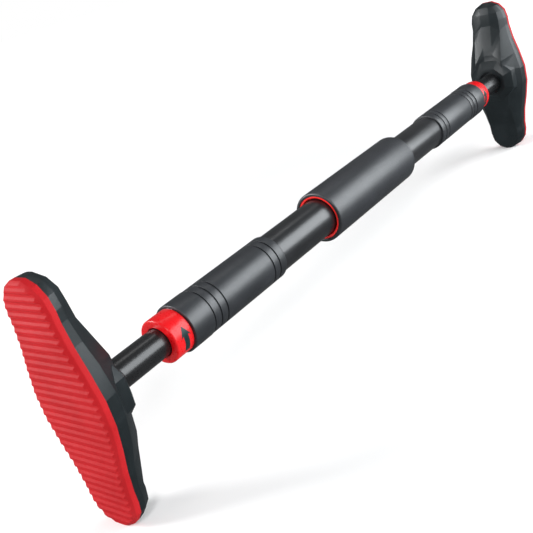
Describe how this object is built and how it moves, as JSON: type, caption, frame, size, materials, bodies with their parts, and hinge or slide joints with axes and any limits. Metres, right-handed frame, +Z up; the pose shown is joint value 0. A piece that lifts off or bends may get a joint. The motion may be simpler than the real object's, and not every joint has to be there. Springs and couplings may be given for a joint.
{
  "type": "pull up bar",
  "caption": "Telescopic doorway pull up bar: rubber grips, a thick middle sleeve, lock rings, and feet that screw outwards to press ribbed pads on the door frame.",
  "frame": {"origin": "middle of the bar, on its axis", "axes": "+X along the bar towards the right foot, +Z up along the feet, +Y across them, away from the side where the lock arrows show"},
  "size_m": [0.7222, 0.066, 0.1812],
  "materials": {
    "tube_paint": "satin black powder coat",
    "spindle_paint": "smooth satin black paint",
    "sleeve_coat": "fine textured satin black coat",
    "grip_rubber": "fine matt black rubber",
    "red_plastic": "moulded red plastic, light gloss",
    "red_rubber": "ribbed red rubber",
    "shell_plastic": "faceted black nylon, satin",
    "nylon": "natural nylon",
    "zinc_steel": "zinc plated steel"
  },
  "bodies": {
    "bar": {"left_main_tube": "tube_paint", "right_main_tube": "tube_paint", "joint_core": "zinc_steel", "core_rivets": "zinc_steel", "centre_sleeve": "sleeve_coat", "left_centre_bush": "red_plastic", "right_centre_bush": "red_plastic", "left_grip": "grip_rubber", "right_grip": "grip_rubber", "left_thread_nut": "nylon", "right_thread_nut": "nylon", "left_snap_ring": "zinc_steel", "right_snap_ring": "zinc_steel"},
    "left_lock": {"left_lock_ring": "red_plastic"},
    "left_guide": {"left_collet": "nylon"},
    "left_foot": {"left_spindle": "spindle_paint", "left_spindle_cap": "zinc_steel", "left_rod_plug": "zinc_steel", "left_threaded_rod": "zinc_steel", "left_foot_plate": "zinc_steel", "left_plate_screws": "zinc_steel", "left_foot_bolt": "zinc_steel", "left_foot_shell": "shell_plastic", "left_pad": "red_rubber"},
    "right_lock": {"right_lock_ring": "red_plastic"},
    "right_guide": {"right_collet": "nylon"},
    "right_foot": {"right_spindle": "spindle_paint", "right_spindle_cap": "zinc_steel", "right_rod_plug": "zinc_steel", "right_threaded_rod": "zinc_steel", "right_foot_plate": "zinc_steel", "right_plate_screws": "zinc_steel", "right_foot_bolt": "zinc_steel", "right_foot_shell": "shell_plastic", "right_pad": "red_rubber"}
  },
  "joints": [
    {"name": "left_lock_turn", "type": "hinge", "parent": "bar", "child": "left_lock", "pos_m": [-0.2694, 0, 0], "axis": [-1, 0, 0], "range_deg": [0, 90]},
    {"name": "left_turn", "type": "hinge", "parent": "bar", "child": "left_guide", "pos_m": [-0.2367, 0, 0], "axis": [1, 0, 0], "range_deg": [-1080, 5400]},
    {"name": "left_extend", "type": "slide", "parent": "left_guide", "child": "left_foot", "axis": [-1, 0, 0], "range_m": [-0.015, 0.075]},
    {"name": "right_lock_turn", "type": "hinge", "parent": "bar", "child": "right_lock", "pos_m": [0.2694, 0, 0], "axis": [-1, 0, 0], "range_deg": [0, 90]},
    {"name": "right_turn", "type": "hinge", "parent": "bar", "child": "right_guide", "pos_m": [0.2367, 0, 0], "axis": [1, 0, 0], "range_deg": [-1080, 5400]},
    {"name": "right_extend", "type": "slide", "parent": "right_guide", "child": "right_foot", "axis": [1, 0, 0], "range_m": [-0.015, 0.075]}
  ],
  "couplings": [
    {"joint": "left_extend", "follows": "left_turn", "m_per_rad": 0.00079577},
    {"joint": "right_extend", "follows": "right_turn", "m_per_rad": 0.00079577}
  ]
}
